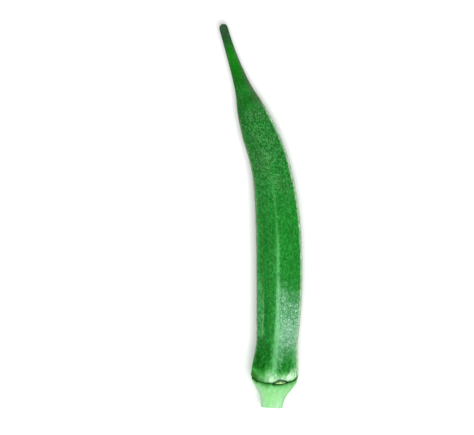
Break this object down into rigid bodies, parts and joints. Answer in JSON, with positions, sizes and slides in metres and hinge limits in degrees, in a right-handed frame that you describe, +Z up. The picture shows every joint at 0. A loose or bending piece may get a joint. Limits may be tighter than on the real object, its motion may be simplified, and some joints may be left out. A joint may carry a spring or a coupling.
{
  "type": "okra pod",
  "caption": "Fresh green okra pod, long and ridged, flaring to a pale cap and cut stem at one end and narrowing to a bent beak at the other, lying on one flat side.",
  "frame": {"origin": "Under the middle of the pod's bounding box, on the surface that the pod lies on.", "axes": "+Y runs along the pod from the cut stem to the beak, +Z is up from the surface that it lies on, and +X is to its right as it is seen from above with the beak away from the viewer."},
  "size_m": [0.0306, 0.1468, 0.0171],
  "materials": {
    "pod_skin": "velvety mid green skin with paler ridges and a fine bloom, fading to a pale mint cap and a grey-green tip"
  },
  "bodies": {
    "root": {"okra_pod": "pod_skin"}
  },
  "joints": []
}
